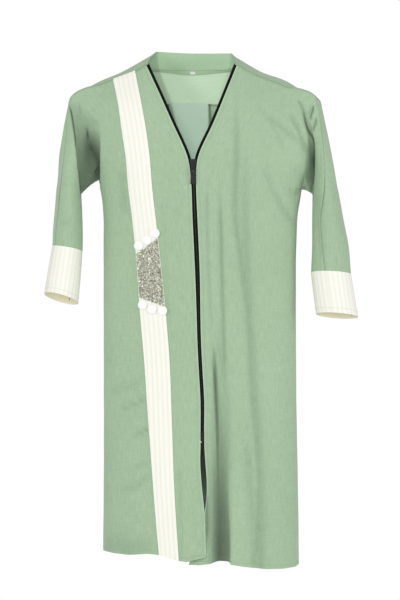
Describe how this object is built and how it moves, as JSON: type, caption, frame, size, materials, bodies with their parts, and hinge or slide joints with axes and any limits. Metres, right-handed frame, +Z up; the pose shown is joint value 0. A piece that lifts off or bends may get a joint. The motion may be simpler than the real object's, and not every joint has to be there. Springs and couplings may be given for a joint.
{
  "type": "child's abaya",
  "caption": "Child's full-length abaya with kimono sleeves, stand collar, front zip, striped band and cuffs, filled out and hollow as when worn.",
  "frame": {"origin": "where the wearer's shoulders hold the garment: at the base of the neck, on the middle between the shoulders, level with the front ends of the shoulder seams", "axes": "+Z up along the body, -Y towards the front of the garment, +X towards the wearer's left"},
  "size_m": [0.5311, 0.1465, 0.8775],
  "materials": {
    "sage_crepe": "matt crepe weave",
    "sage_crepe_inside": "matt crepe weave",
    "striped_cream": "matt, tonal stripes",
    "glitter": "sequins and glitter",
    "white_gloss": "gloss",
    "label_cloth": "plain woven tape",
    "zip_tape": "matt black tape and coil",
    "zip_metal": "black lacquer"
  },
  "bodies": {
    "garment": {"right_front": "sage_crepe", "left_front": "sage_crepe", "back": "sage_crepe", "back_yoke": "sage_crepe", "collar": "sage_crepe", "back_pleat": "sage_crepe_inside", "neck_tape": "sage_crepe_inside", "neck_label": "label_cloth", "right_cuff": "striped_cream", "left_cuff": "striped_cream", "stripe_band": "striped_cream", "sequin_patch": "glitter", "white_disc_1": "white_gloss", "white_disc_2": "white_gloss", "white_disc_3": "white_gloss", "white_disc_4": "white_gloss", "white_disc_5": "white_gloss", "white_disc_6": "white_gloss", "zip_left": "zip_tape", "zip_right": "zip_tape", "zip_slider": "zip_metal", "zip_end_box": "zip_metal"},
    "pull_tab": {"zip_pull_tab": "zip_metal"}
  },
  "joints": [
    {"name": "pull_tab_hinge", "type": "hinge", "parent": "garment", "child": "pull_tab", "pos_m": [-0.00113, -0.07034, -0.1756], "axis": [-1, 0, 0], "range_deg": [0, 140]}
  ]
}
